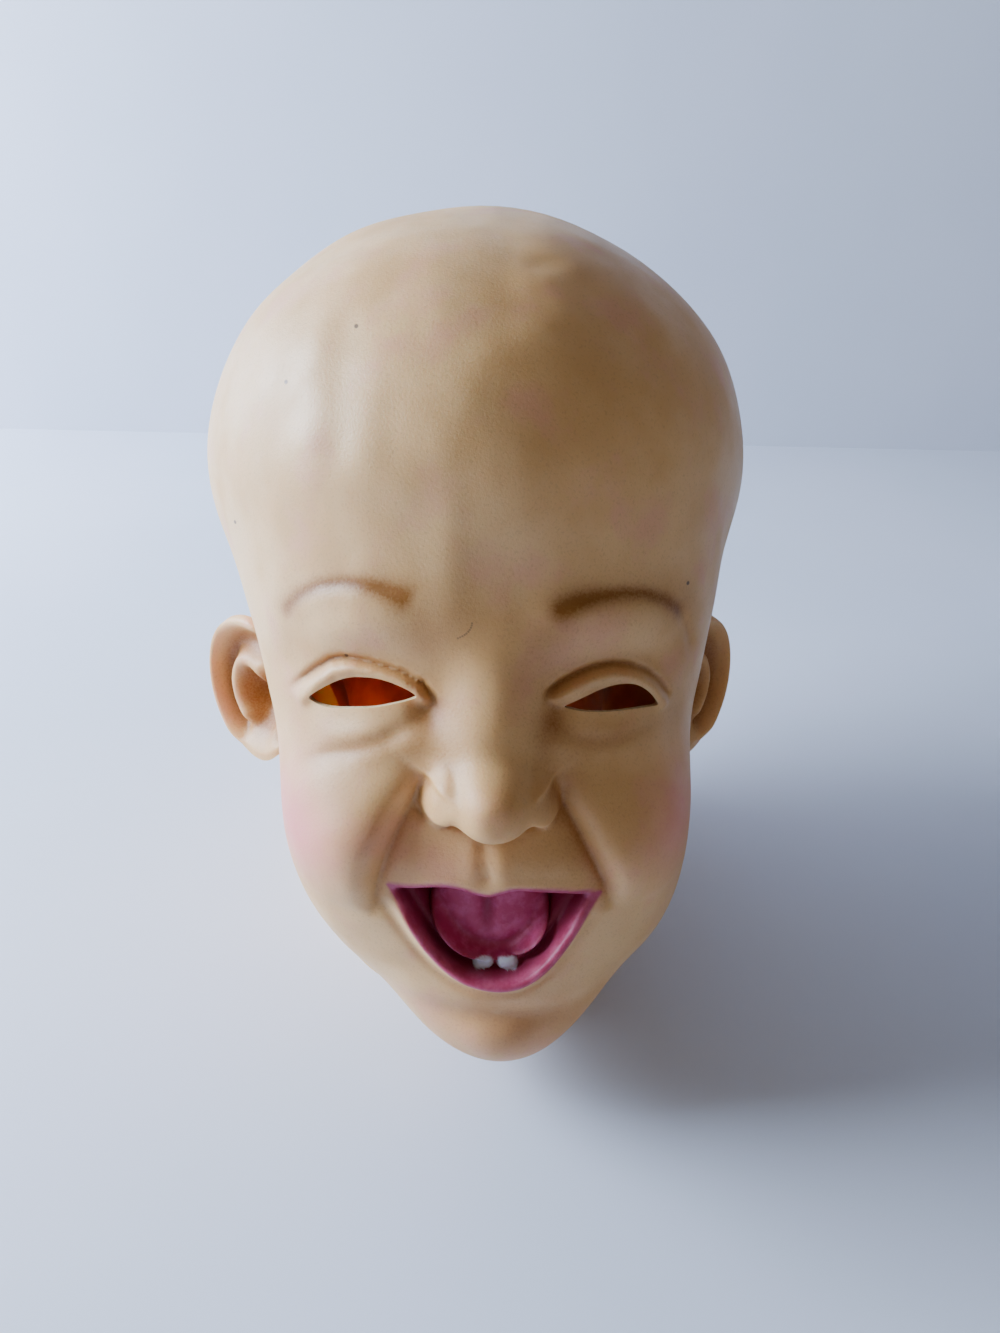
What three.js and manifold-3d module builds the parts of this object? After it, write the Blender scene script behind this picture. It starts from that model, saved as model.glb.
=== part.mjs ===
// A full-head latex mask of a laughing baby. It is one hollow casting, open at the neck, with
// almond eye holes, a lined mouth with a tongue and two lower teeth, cupped ears and a slit up
// the nape. It stands on the cut rim of its neck, with the face leaning back a little.
import * as THREE from "three";
import { mergeVertices } from "three/addons/utils/BufferGeometryUtils.js";
import Module from "manifold-3d";

// Sizes are in millimetres. The head is shaped in its own frame: x to the picture's right, y to
// the back with 0 at the front of the forehead, and z up with 0 under the chin.
const HEAD_HEIGHT = 272;
const HEAD_WIDTH = 190;
const HEAD_LENGTH = 236;
const CROWN_HALF_HEIGHT = 84;
const WALL = 2.4;

// How it stands: leaning back, the chin clear of the floor, and the rim's middle at the origin.
const LEAN_DEG = 16;
const HEAD_TO_FLOOR = { x: 1.5, y: -145.5, z: 23 };

// Lumps that blend into the bare head and neck: each has a centre and half-widths.
const BLEND = 20;
const LUMPS = [
  { at: [-1, HEAD_LENGTH / 2, HEAD_HEIGHT - CROWN_HALF_HEIGHT],
    half: [HEAD_WIDTH / 2, HEAD_LENGTH / 2, CROWN_HALF_HEIGHT] },
  { at: [-1, 150, 150], half: [74, 80, 72] },
  { at: [0, 74, 138], half: [75, 68, 60] },
  { at: [0, 72, 98], half: [66, 70, 74] },
  { at: [-37, 44, 77], half: [26, 36, 33] },
  { at: [38, 44, 76], half: [26, 36, 33] },
  { at: [4, 56, 50], half: [54, 54, 41] },
  { at: [4, 32, 23], half: [26, 22, 23] },
  { at: [0, 125, -20], half: [60, 60, 120] },
  { at: [0, 154, 50], half: [60, 54, 110] },
];
const RAY_CENTRE = [0, 100, 105];
const RAY_REACH = 300;

// The face, read as a front view: x is measured from the middle line and z from under the chin.
const EYE = { inner: 20.5, outer: 50.5, cornerZ: 120.6, rise: 7.2, drop: 1.8 };
const EYE_MID_X = (EYE.inner + EYE.outer) / 2;
const NOSE = { rootZ: 131, tipZ: 95, baseZ: 88, length: 14, wingX: 13.2, wingZ: 97 };
const CORNER_FOLD = [[20, 100], [27, 86], [31.5, 76], [34, 66], [34, 57]];

// The mouth is a cup behind a flat upper lip and a deep round lower one.
const MOUTH = { x: 1.3, halfWidth: 28, topZ: 67.5, drop: 32, backY: 28, frontY: -20 };
const LIP = { out: 1.5, radius: 3.3, sunk: 0.8 };
const GUM = { in: 3.2, radius: 2.8, y: 17.5 };
const TONGUE = { at: [0, 25, 57], half: [17.5, 10, 17] };
const TOOTH = { atX: [-2.2, 5], z: 41.2, y: 15, half: [3.3, 2.6, 2.8] };

// Each ear is a cup: a profile from the middle of its back, over the rim and into its hollow,
// given as shares of its outline and heights, turned to face outwards and to the front.
const EAR = {
  leftX: 79, rightX: 76, y: 96, z: 104,
  halfTall: 28, halfWide: 26, taper: 0.2,
  flareDeg: 46, leanDeg: 9, sides: 24,
};
const EAR_PROFILE = [
  [0, -9], [0.45, -8.5], [0.8, -5], [0.97, 0.5], [1, 3.5], [0.93, 5], [0.84, 3.5], [0.76, 0],
  [0.64, 0.5], [0.55, 1.8], [0.46, -1], [0.38, -5], [0, -6],
];

// Longest edges of the outer and the inner skin, by region.
const OUTER_EDGE = { dome: 24, face: 12, fine: 6.4, below: 60 };
const INNER_EDGE = { dome: 30, face: 18, fine: 11, below: 60 };
const MOST_HALVINGS = 6;
const SLIT = { height: 100, width: 14 };

const LATEX = new THREE.MeshStandardMaterial({ color: 0xe3cba4, roughness: 0.55, metalness: 0 });

const clamp01 = (t) => Math.min(1, Math.max(0, t));
const smooth = (from, to, t) => {
  const s = clamp01((t - from) / (to - from));
  return s * s * (3 - 2 * s);
};
const bell = (x, z) => Math.exp(-(x * x + z * z));

// A short way of saying how far a point is from an ellipsoid's skin.
function toEllipsoid([x, y, z], { at, half }) {
  const p = [(x - at[0]) / half[0], (y - at[1]) / half[1], (z - at[2]) / half[2]];
  const k0 = Math.hypot(...p);
  const k1 = Math.hypot(p[0] / half[0], p[1] / half[1], p[2] / half[2]);
  return k0 < 1e-6 ? -Math.min(...half) : (k0 * (k0 - 1)) / k1;
}

function blend(a, b, size) {
  const h = Math.max(0, size - Math.abs(a - b)) / size;
  return Math.min(a, b) - (h * h * size) / 4;
}

const toHead = (p) => LUMPS.map((lump) => toEllipsoid(p, lump)).reduce((a, b) => blend(a, b, BLEND));

// The furthest point of the bare head along a ray, or of a skin that lies some depth inside it.
function castFrom(origin, direction, reach, depth) {
  const at = (t) => origin.map((o, i) => o + direction[i] * t);
  const outside = (t) => toHead(at(t)) + depth;
  let near = reach;
  let out = reach;
  while (near > 0 && outside(near) > 0) {
    out = near;
    near = Math.max(0, near - Math.max(0.5, outside(near) * 0.6));
  }
  for (let i = 0; i < 20; i++) {
    const middle = (near + out) / 2;
    if (outside(middle) > 0) out = middle;
    else near = middle;
  }
  return at(near);
}

function noseRelief(x, z) {
  const along = smooth(NOSE.rootZ + 4, NOSE.tipZ, z);
  const base = smooth(NOSE.baseZ - 2.5, NOSE.baseZ + 3, z);
  const ridge = (3 + (NOSE.length - 5) * along) * bell(x / (6.5 + 3.5 * along), 0);
  const tip = 6 * bell(x / 10, (z - NOSE.tipZ) / 9);
  const wing = 10 * bell((Math.abs(x) - NOSE.wingX) / 6.2, (z - NOSE.wingZ) / 7.5);
  const top = smooth(NOSE.rootZ + 12, NOSE.rootZ - 8, z);
  return -base * (top * ridge + tip + wing);
}

function eyeRelief(side, z) {
  const socket = 6.5 * bell((side - EYE_MID_X + 2) / 24, (z - 127) / 13);
  const lids = 5 * bell((side - EYE_MID_X) / 17, (z - 123) / 8.5);
  const bag = 2 * bell((side - EYE_MID_X) / 16, (z - 110) / 5);
  return socket - lids - bag;
}

// How far a place is from a fold's line, in the front view.
function toFold(x, z, line) {
  let nearest = Infinity;
  for (let i = 0; i + 1 < line.length; i++) {
    const [ax, az] = line[i];
    const [bx, bz] = [line[i + 1][0] - ax, line[i + 1][1] - az];
    const t = clamp01(((x - ax) * bx + (z - az) * bz) / (bx * bx + bz * bz));
    nearest = Math.min(nearest, Math.hypot(x - ax - t * bx, z - az - t * bz));
  }
  return nearest;
}

// How deep the face is carved, backwards, at a place in the front view.
function faceRelief(x, z) {
  const side = Math.abs(x);
  const fold = 3.4 * Math.exp(-((toFold(side, z, CORNER_FOLD) / 4.2) ** 2));
  const cheek = 4 * bell((side - 45) / 14, (z - 80) / 16);
  const muzzle = 4 * bell(side / 20, (z - 76) / 9);
  const chin = 4 * bell(side / 15, (z - 13) / 11) - 3 * bell(side / 22, (z - 27) / 4.5);
  const brow = 2.2 * bell((side - 38) / 22, (z - 147) / 8);
  return eyeRelief(side, z) + noseRelief(x, z) + fold - cheek - muzzle - chin - brow;
}

// The carving as the inside of the wall has it: the deepest of the places round about.
function innerRelief(x, z) {
  let deepest = faceRelief(x, z);
  for (let i = 0; i < 8; i++) {
    const angle = (i * Math.PI) / 4;
    deepest = Math.max(deepest, faceRelief(x + WALL * Math.cos(angle), z + WALL * Math.sin(angle)));
  }
  return deepest;
}

const frontness = (y) => smooth(80, 40, y);

function outerPoint(direction) {
  const [x, y, z] = castFrom(RAY_CENTRE, direction, RAY_REACH, 0);
  return [x, y + faceRelief(x, z) * frontness(y), z];
}

function innerPoint(direction) {
  const [x, y, z] = castFrom(RAY_CENTRE, direction, RAY_REACH, WALL);
  return [x, y + innerRelief(x, z) * frontness(y), z];
}

// The edge length wanted at a point: short where the carving is small.
function wantedEdge([x, y, z], edge) {
  const side = Math.abs(x);
  if (z < -25) return edge.below;
  if (y < 45 && side < 54 && z > 28 && z < 134) return edge.fine;
  return y < 75 && z < 165 ? edge.face : edge.dome;
}

// The faces that a triangle becomes when some of its edges have a middle point.
function splitFace([a, b, c], [ab, bc, ca]) {
  const cuts = [ab, bc, ca].filter((m) => m >= 0).length;
  if (cuts === 0) return [[a, b, c]];
  if (cuts === 3) return [[a, ab, ca], [ab, b, bc], [ca, bc, c], [ab, bc, ca]];
  if (ab < 0 || (cuts === 1 && bc >= 0)) return splitFace([b, c, a], [bc, ca, ab]);
  if (cuts === 1) return [[a, ab, c], [ab, b, c]];
  if (bc < 0) return [[a, ab, ca], [ab, b, c], [ab, c, ca]];
  return [[b, bc, ab], [bc, c, a], [bc, a, ab]];
}

// A ball of rays, its edges halved until each is as short as is wanted on the skin.
function skinGeometry(pointOf, edge) {
  const ball = new THREE.IcosahedronGeometry(1, 3);
  ball.deleteAttribute("normal");
  ball.deleteAttribute("uv");
  const { attributes, index } = mergeVertices(ball, 1e-4);
  const rays = [];
  for (let i = 0; i < attributes.position.count; i++)
    rays.push(new THREE.Vector3().fromBufferAttribute(attributes.position, i).normalize());
  const points = rays.map((ray) => pointOf(ray.toArray()));
  let faces = [];
  for (let i = 0; i < index.count; i += 3) faces.push([0, 1, 2].map((k) => index.getX(i + k)));

  for (let round = 0; round < MOST_HALVINGS; round++) {
    const middles = new Map();
    const middleOf = (a, b) => {
      const key = Math.min(a, b) * 1e6 + Math.max(a, b);
      if (!middles.has(key)) {
        const [p, q] = [new THREE.Vector3(...points[a]), new THREE.Vector3(...points[b])];
        const long = p.distanceTo(q) > wantedEdge(p.clone().lerp(q, 0.5).toArray(), edge);
        if (long) {
          rays.push(rays[a].clone().add(rays[b]).normalize());
          points.push(pointOf(rays.at(-1).toArray()));
        }
        middles.set(key, long ? rays.length - 1 : -1);
      }
      return middles.get(key);
    };
    const middlesOf = ([a, b, c]) => [middleOf(a, b), middleOf(b, c), middleOf(c, a)];
    faces = faces.flatMap((face) => splitFace(face, middlesOf(face)));
  }
  const geometry = new THREE.BufferGeometry();
  geometry.setAttribute("position", new THREE.Float32BufferAttribute(points.flat(), 3));
  return geometry.setIndex(faces.flat());
}

// An eye hole seen from the front: a nearly flat lower edge and an arched upper one.
function eyeHoleGeometry(side) {
  const steps = 8;
  const depth = 60;
  const points = [];
  for (let i = 0; i <= steps; i++) {
    const t = i / steps;
    const x = EYE.inner + (EYE.outer - EYE.inner) * t;
    points.push(new THREE.Vector2(side * x, EYE.cornerZ + EYE.rise * Math.sin(Math.PI * t) ** 0.85));
  }
  for (let i = steps - 1; i > 0; i--) {
    const t = i / steps;
    const x = EYE.inner + (EYE.outer - EYE.inner) * t;
    points.push(new THREE.Vector2(side * x, EYE.cornerZ - EYE.drop * Math.sin(Math.PI * t)));
  }
  const hole = new THREE.ExtrudeGeometry(new THREE.Shape(points), { depth, bevelEnabled: false });
  return hole.rotateX(Math.PI / 2).translate(0, depth - 15, 0);
}

// A place on the mouth's lower curve, at an angle from 180 to 360 degrees, taken out by a margin.
function mouthPlace(angle, margin) {
  const across = Math.sign(Math.cos(angle)) * Math.abs(Math.cos(angle)) ** 1.15;
  const x = MOUTH.x + (MOUTH.halfWidth + margin) * across;
  return [x, MOUTH.topZ + (MOUTH.drop + margin) * Math.sin(angle)];
}

function mouthGeometry(margin, fromY, toY) {
  const steps = 20;
  const points = [];
  for (let i = 0; i <= steps; i++) {
    const [x, z] = mouthPlace(Math.PI * (1 + i / steps), margin);
    points.push(new THREE.Vector2(x, i === 0 || i === steps ? MOUTH.topZ + margin : z));
  }
  const options = { depth: toY - fromY, bevelEnabled: false };
  const cup = new THREE.ExtrudeGeometry(new THREE.Shape(points), options);
  return cup.rotateX(Math.PI / 2).translate(0, toY, 0);
}

// The skin's place at the front of the head, above a place in the front view.
function skinAt(x, z) {
  const [, y] = castFrom([x, 70, z], [0, -1, 0], 120, 0);
  return y + faceRelief(x, z) * frontness(y);
}

// A round bar round the mouth's lower curve, from one corner to the other.
function mouthBar(margin, radius, depthAt) {
  const steps = 8;
  const places = [];
  for (let i = 0; i <= steps; i++) {
    const [x, z] = mouthPlace(Math.PI * (1 + i / steps), margin);
    places.push(new THREE.Vector3(x, depthAt(x, z), z));
  }
  const section = new THREE.Shape();
  section.absarc(0, 0, radius, 0, 2 * Math.PI);
  const extrudePath = new THREE.CatmullRomCurve3(places);
  return new THREE.ExtrudeGeometry(section, { steps: 16, curveSegments: 4, extrudePath });
}

function earGeometry(side) {
  const profile = EAR_PROFILE.map(([share, height]) => new THREE.Vector2(share, height));
  const cup = new THREE.LatheGeometry(profile, EAR.sides);
  const { position } = cup.attributes;
  for (let i = 0; i < position.count; i++) {
    const [across, up] = [position.getX(i), position.getZ(i)];
    const taper = 1 + EAR.taper * up;
    const lift = 0.3 + 0.7 * smooth(1, 0, across);
    position.setXYZ(i, -across * EAR.halfWide * taper, -position.getY(i) * lift, up * EAR.halfTall);
  }
  cup.rotateY(THREE.MathUtils.degToRad(EAR.leanDeg));
  cup.rotateZ(THREE.MathUtils.degToRad(EAR.flareDeg));
  cup.translate(side > 0 ? EAR.rightX : EAR.leftX, EAR.y, EAR.z);
  return side > 0 ? cup : mirrored(cup);
}

function mirrored(geometry) {
  const flipped = geometry.scale(-1, 1, 1);
  const order = flipped.index.array;
  for (let i = 0; i < order.length; i += 3) {
    [order[i + 1], order[i + 2]] = [order[i + 2], order[i + 1]];
  }
  return flipped;
}

const ballGeometry = ({ at, half }, detail) =>
  new THREE.IcosahedronGeometry(1, detail).scale(...half).translate(...at);

// The slit is a narrow wedge that opens downwards through the nape.
function slitGeometry() {
  const shape = new THREE.Shape([
    new THREE.Vector2(-SLIT.width / 2, -10),
    new THREE.Vector2(SLIT.width / 2, -10),
    new THREE.Vector2(0, SLIT.height),
  ]);
  const depth = 200;
  return new THREE.ExtrudeGeometry(shape, { depth, bevelEnabled: false })
    .rotateX(Math.PI / 2).translate(0, depth, 0);
}

const wasm = await Module();
wasm.setup();

function solidOf(geometry) {
  const bare = geometry.clone();
  bare.deleteAttribute("normal");
  bare.deleteAttribute("uv");
  const { attributes, index } = mergeVertices(bare, 1e-4);
  return new wasm.Manifold(new wasm.Mesh({
    numProp: 3,
    vertProperties: attributes.position.array,
    triVerts: new Uint32Array(index.array),
  }));
}

function geometryOf(solid) {
  const { vertProperties, triVerts } = solid.getMesh();
  const geometry = new THREE.BufferGeometry();
  geometry.setAttribute("position", new THREE.BufferAttribute(new Float32Array(vertProperties), 3));
  return geometry.setIndex(new THREE.BufferAttribute(new Uint32Array(triVerts), 1));
}

const standing = new THREE.Matrix4()
  .makeTranslation(HEAD_TO_FLOOR.x, HEAD_TO_FLOOR.y, HEAD_TO_FLOOR.z)
  .multiply(new THREE.Matrix4().makeRotationX(-THREE.MathUtils.degToRad(LEAN_DEG)));
const stood = (geometry) => solidOf(geometry.applyMatrix4(standing));

function maskGeometry() {
  const head = stood(skinGeometry(outerPoint, OUTER_EDGE));
  const lining = stood(mouthGeometry(WALL, MOUTH.frontY, MOUTH.backY + WALL)).intersect(head);
  const lip = mouthBar(LIP.out, LIP.radius, (x, z) => skinAt(x, z) + LIP.sunk);
  const gum = mouthBar(-GUM.in, GUM.radius, () => GUM.y);
  const teeth = TOOTH.atX.map((x) => ballGeometry({ at: [x, TOOTH.y, TOOTH.z], half: TOOTH.half }, 1));

  let mask = head;
  for (const side of [-1, 1]) mask = mask.add(stood(earGeometry(side)));
  mask = mask.subtract(stood(skinGeometry(innerPoint, INNER_EDGE))).add(lining);
  mask = mask.subtract(stood(mouthGeometry(0, MOUTH.frontY, MOUTH.backY)));
  for (const piece of [lip, gum, ballGeometry(TONGUE, 3), ...teeth]) mask = mask.add(stood(piece));
  for (const side of [-1, 1]) mask = mask.subtract(stood(eyeHoleGeometry(side)));
  const below = new THREE.BoxGeometry(600, 600, 300).translate(0, 0, -150);
  return geometryOf(mask.subtract(solidOf(slitGeometry())).subtract(solidOf(below)));
}

const mask = new THREE.Mesh(maskGeometry(), LATEX);
mask.name = "mask";
const part = new THREE.Group();
part.add(mask);

export default part;
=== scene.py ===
# A full-head latex mask of a laughing baby, standing on the cut rim of its neck.
import math

import bmesh
import bpy
import numpy as np
from mathutils import Matrix, Vector


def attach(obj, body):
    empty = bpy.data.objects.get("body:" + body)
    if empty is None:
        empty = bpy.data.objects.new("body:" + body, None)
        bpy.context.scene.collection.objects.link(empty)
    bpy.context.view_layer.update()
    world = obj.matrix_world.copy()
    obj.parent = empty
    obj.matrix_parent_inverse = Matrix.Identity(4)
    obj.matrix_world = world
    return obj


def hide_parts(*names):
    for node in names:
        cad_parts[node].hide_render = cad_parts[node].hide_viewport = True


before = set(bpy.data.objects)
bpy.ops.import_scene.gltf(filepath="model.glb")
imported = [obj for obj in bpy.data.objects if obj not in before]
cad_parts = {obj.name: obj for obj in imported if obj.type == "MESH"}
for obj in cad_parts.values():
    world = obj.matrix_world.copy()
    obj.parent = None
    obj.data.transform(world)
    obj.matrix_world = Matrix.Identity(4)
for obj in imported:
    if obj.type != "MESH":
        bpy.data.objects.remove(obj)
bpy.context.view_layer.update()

# Sizes are in millimetres, in the head's own frame: x to the viewer's right, y to the back with
# 0 at the front of the forehead, and z up with 0 under the chin.
MM = 0.001
WALL = 2.4
LEAN = math.radians(16)
SHARP_FROM = math.radians(55)
HEAD_TO_FLOOR = (1.5, -145.5, 23)

# The bare head and neck blend out of these lumps: a centre and half-widths for each.
BLEND = 20
LUMPS = [
    ((-1, 118, 188), (95, 118, 84)),
    ((-1, 150, 150), (74, 80, 72)),
    ((0, 74, 138), (75, 68, 60)),
    ((0, 72, 98), (66, 70, 74)),
    ((-37, 44, 77), (26, 36, 33)),
    ((38, 44, 76), (26, 36, 33)),
    ((4, 56, 50), (54, 54, 41)),
    ((4, 32, 23), (26, 22, 23)),
    ((0, 125, -20), (60, 60, 120)),
    ((0, 154, 50), (60, 54, 110)),
]
RAY_CENTRE = np.array([0, 100, 105])
RAY_REACH = 320
RAY_STEPS = 30
RAY_STEP_SHARE = 0.75
CARVED_BACK_TO = (80, 40)
THINNED_AT_EYES = 1.2
UNEVENNESS = 0.26


def rounded(line, closed=False):
    """Cuts each corner of a line or a closed outline twice, which rounds it."""
    points = np.array(line, float)
    for _ in range(2):
        starts, ends = points[:-1], points[1:]
        if closed:
            starts, ends = points, np.roll(points, -1, axis=0)
        cuts = np.stack([starts * 0.75 + ends * 0.25, starts * 0.25 + ends * 0.75], 1).reshape(-1, 2)
        points = cuts if closed else np.concatenate([points[:1], cuts, points[-1:]])
    return [tuple(point) for point in points]


# Lines on the face in its front view, as (x, z). Left is the viewer's left.
LEFT_CREASE = [(-63, 119), (-56, 124.8), (-51.3, 128.8), (-46.3, 132.5), (-42.5, 133.7), (-38.8, 133.6),
               (-34, 133), (-29, 131.8), (-24.4, 130.5), (-19.7, 128), (-17, 124.4), (-18, 120.5)]
RIGHT_CREASE = [(13.5, 122), (15.6, 125.7), (19.5, 128.3), (24.5, 130.4), (29.6, 131.7), (34.7, 132),
                (40, 131), (45.7, 128.6), (50.3, 125), (53.8, 120.6), (55, 116)]
LEFT_LID = [(-59, 117.6), (-56, 119.8), (-50.9, 125.6), (-45.7, 129.7), (-39.6, 131.4),
            (-32.8, 131.2), (-27.2, 129.9), (-22, 127.9), (-18.9, 124.6), (-19.6, 121)]
RIGHT_LID = [(17, 121.5), (18.6, 124), (22.8, 126.8), (28.2, 129), (35.2, 129.8), (42.5, 128.3),
             (48.4, 124.4), (52.4, 119), (53.4, 115.6)]
LEFT_BAG = [(-18.5, 123), (-23.5, 116.6), (-31, 111.9), (-37.4, 109.4), (-45, 106.8),
            (-53.3, 102.7), (-59.8, 96.6)]
RIGHT_BAG = [(14, 121.5), (17.5, 116.4), (24, 112.5), (33, 111), (44, 111.6), (54, 112.7)]
LEFT_FOLD = rounded([(-17.5, 103), (-20.4, 98.3), (-24.9, 90.3), (-29.2, 81.6), (-32.2, 73.4),
                     (-33.9, 65.3), (-35, 58)])
RIGHT_FOLD = rounded([(15.5, 102.6), (19, 96.4), (23.1, 88.7), (27, 81), (31.1, 73.5), (33.9, 66.3),
                      (34.4, 60)])
LEFT_WING_GROOVE = [(-12.4, 104), (-11.6, 100), (-11.4, 96), (-11.6, 91)]
RIGHT_WING_GROOVE = [(11.4, 104), (10.6, 100), (10.3, 96), (10.4, 91)]
LEFT_WING_EDGE = [(-12.5, 106), (-17.3, 103.8), (-20.3, 98.5), (-20.4, 92), (-17.5, 87.5)]
RIGHT_WING_EDGE = [(11, 106), (16, 103.6), (19.2, 98), (19.2, 92), (16, 86.8)]
PHILTRUM = [(-3.2, 86), (-2.4, 78), (-1.7, 71)]
LEFT_BROW = [(-61, 141.5), (-59, 147), (-54.9, 151.1), (-48.5, 154.7), (-41.5, 156.2),
             (-35.8, 156), (-30.3, 154.9), (-24.8, 153.2), (-20.5, 151)]
RIGHT_BROW = [(14, 146), (19, 150.2), (24.1, 152.2), (29.9, 153.2), (36.9, 153.4),
              (43.4, 152.7), (50.3, 150.4), (55.5, 146.7), (58.5, 141.5)]
NOSE_BASE = rounded([(-21, 93), (-18.8, 90.8), (-16, 89.2), (-13.4, 89.3), (-11.8, 90.3), (-9, 89.6),
                     (-6, 88.2), (-3, 87.5), (0, 87.6), (4, 88.4), (8, 89.8), (10.4, 90.3), (12.4, 89.2),
                     (15, 88.6), (18, 90), (21, 93)])
LIP_TOP = rounded([(-30, 68.3), (-24, 68.7), (-16, 69.8), (-10.7, 69.9), (-5, 68), (-1.3, 66.8),
                   (2.5, 68.4), (6.2, 69.3), (14, 68), (22, 66.8), (27, 66), (32, 64.8)])
MOUTH_LOW = rounded([(-28.6, 68), (-24.1, 60.2), (-19.4, 52.2), (-14.6, 46.2), (-8.8, 41.7), (-2.9, 39.9),
                     (3.1, 39.4), (9, 40.9), (14.9, 45.6), (20.6, 53.4), (24.6, 60), (29, 66)])
LIP_LOW = rounded([(-30.5, 68.6), (-26.9, 62.6), (-22.3, 52.9), (-16.6, 45), (-10.8, 39.6), (-5, 36.7),
                   (0.8, 35.7), (7.6, 36.2), (14.4, 39.3), (20.1, 46.5), (24.8, 54.9), (28.7, 61.2),
                   (32.4, 65.6)])
FOREHEAD_CREASE = [(-43, 238), (-41, 222), (-40, 208), (-42, 193), (-44, 178)]
TOP_DENT = [(7, 242.4), (15, 242.6), (23, 243.8)]
TEMPLE_CREASES = [(54, 151), (60.6, 139), (64.5, 129)]
SPECKS = [(-78.1, 169.5), (-36.8, 224.6), (-57, 210.2), (59.3, 153.6), (-41.6, 134.3)]
SPECK_RADIUS = 0.4
HAIR_MARK = [(-9.8, 142), (-9.2, 142.3), (-8.6, 142.6), (-8, 143), (-7.5, 143.4), (-7, 143.9),
             (-6.6, 144.4), (-6.3, 145), (-6.1, 145.6), (-6, 146.2)]
HAIR_RADIUS = 0.2

# The eye holes are cut by hand, a little unevenly.
LEFT_EYE_HOLE = [(-21, 124.6), (-22.5, 125.9), (-25, 127.1), (-28.5, 128.3), (-32.8, 129.1),
                 (-38.6, 128.9), (-42.5, 127.9), (-46.6, 125.8), (-51, 122.8), (-54, 120.4),
                 (-51.4, 119), (-48.5, 118.6), (-44.8, 118.9), (-38.8, 120.1), (-33, 121),
                 (-28.2, 122.3), (-23.5, 123.5)]
RIGHT_EYE_HOLE = [(19.4, 121.2), (23, 122.9), (26.7, 124.3), (30.6, 125.6), (34.5, 126.3),
                  (38.5, 126.5), (42.7, 125.6), (46.1, 123.4), (48.8, 120.5), (50.6, 117.8),
                  (45.9, 118.2), (40.1, 118.8), (33.9, 119.1), (28.8, 119.6), (23.9, 120.3)]

# Swells and hollows as (depth, middle x, half-width, middle z, half-height). Depth is less than
# zero where the skin swells out. The first table holds for both sides of the face.
EYE_SWELLS = [
    (6.5, 33.5, 24, 127, 13),
    (-5, 35.5, 17, 123, 8.5),
    (-2, 35.5, 16, 112, 5),
    (-1.5, 38, 15, 141, 6),
    (3, 18, 4.5, 121, 5.5),
]
CHEEK_SWELLS = [(-3, 46, 14, 82, 15)]
BROW_SWELLS = [(-2.2, 38, 22, 147, 8)]
MUZZLE_SWELLS = [
    (-4, 0, 20, 76, 9),
    (-0.2, -7, 2.4, 77, 6),
    (-0.55, 2.8, 3.2, 76, 7),
    (-4, 3, 15, 13, 11),
    (2.6, 1, 22, 26, 4.5),
]
FOREHEAD_SWELLS = [
    (-0.7, -50, 7, 205, 26),
    (-0.8, 20, 9, 152, 12),
    (-0.6, -12, 5, 165, 16),
]

# Coats of brown in the same way, the strength first: round the eyes, beside the nose, under the eyes, at
# the temples, over the muzzle, between the brows and on the chin. They are partly the mask's own
# airbrushed brown
# and partly painted shade: the coats beside the nose, over the muzzle, on the left cheek and across the
# middle of the face darken it where the light falls off.
BROWN_COATS_AND_PAINTED_SHADE = [
    (0.25, -17.5, 5, 119, 7),
    (0.4, 15.5, 5, 118, 8),
    (0.3, -38, 18, 110, 5),
    (0.25, 34, 14, 112, 5),
    (0.25, -58, 6, 116, 6),
    (0.25, 56, 5, 114, 7),
    (0.25, -60, 5, 138, 12),
    (0.25, 60, 5, 140, 12),
    (0.25, 13, 5, 112, 13),
    (0.2, -21, 5, 108, 9),
    (0.3, 22, 7, 100, 9),
    (0.22, 20, 10, 78, 12),
    (0.32, -12, 7, 112, 15),
    (0.16, -4, 30, 140, 18),
    (0.22, 4, 26, 20, 16),
    (0.16, -40, 16, 90, 20),
    (0.22, -19, 6, 143, 9),
    (0.2, 14, 6, 140, 10),
]
PINK_COATS = [
    (0.95, -59, 13, 82, 15),
    (0.6, 56, 11, 84, 15),
    (0.2, -14, 14, 77, 9),
    (0.12, 6, 30, 22, 16),
]

# The slit in the nape, as it stands on the floor.
NAPE_SLIT = [(-7, -10), (7, -10), (0, 100)]

TONGUE = {"x": -0.2, "z": 61, "half_wide": 17.8, "half_tall": 16.6}
TEETH = [(-2.6, 43.8), (4.7, 43.7)]
TOOTH_HALF_WIDE, TOOTH_HALF_TALL = 3.1, 2.3

# An ear's outline in its own plane: degrees from straight out to the back, and the radius.
EAR_OUTLINE = [(0, 25.5), (30, 29), (45, 31), (60, 31.5), (90, 29.5), (120, 27), (150, 23),
               (180, 20), (210, 20.5), (240, 23), (270, 25.5), (300, 24), (330, 23.2)]
EAR_FRONT = [(0, -11), (0.25, -11), (0.36, -8), (0.45, -2), (0.53, 1.6), (0.6, 1.8),
             (0.67, -1.4), (0.76, -3.6), (0.84, -1), (0.91, 4.6), (0.96, 5), (1, 2.4)]
EAR_LOBE = [(0, -11), (0.4, -6.5), (0.6, -1), (0.8, 1.6), (0.92, 2.6), (1, 1)]
EAR_BACK = [(0, -17), (0.45, -15.5), (0.8, -8), (0.93, -2), (1, 2.2)]
EAR = {"left_x": 80.5, "right_x": 76.6, "y": 96, "z": 104, "flare": 46, "lean": 9}


def smooth_step(start, end, value):
    share = np.clip((value - start) / (end - start), 0, 1)
    return share * share * (3 - 2 * share)


def bell(across, along=0):
    return np.exp(-(across * across + along * along))


def dome(across, along=0):
    """Rounder than a bell, with a flatter top and steeper sides."""
    return np.exp(-((across * across + along * along) ** 1.6))


def swells(x, z, table):
    return sum(
        depth * bell((x - middle_x) / half_x, (z - middle_z) / half_z)
        for depth, middle_x, half_x, middle_z, half_z in table
    )


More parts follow.
